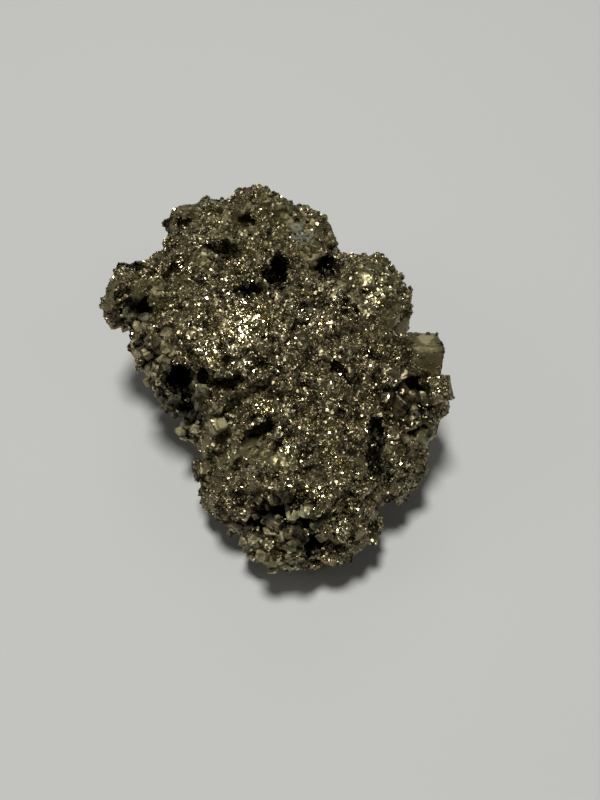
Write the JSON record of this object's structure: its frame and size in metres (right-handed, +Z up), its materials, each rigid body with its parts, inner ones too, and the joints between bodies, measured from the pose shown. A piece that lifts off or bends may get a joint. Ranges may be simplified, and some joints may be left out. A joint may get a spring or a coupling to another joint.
{
  "type": "pyrite crystal cluster",
  "caption": "Palm-sized natural lump of pyrite, crusted all over with small brassy crystals, with dark hollows and a broken left side; a loose display specimen that rests on its flat underside.",
  "frame": {"origin": "middle of the bounding box, on the table plane that the flat underside rests on", "axes": "+Z up through the display side, -Y towards the person who looks at it, +X to their right; the left lobe overhangs towards -X"},
  "size_m": [0.0668, 0.0754, 0.0365],
  "materials": {
    "pyrite": "gloss"
  },
  "bodies": {
    "root": {"pyrite_cluster": "pyrite"}
  },
  "joints": []
}
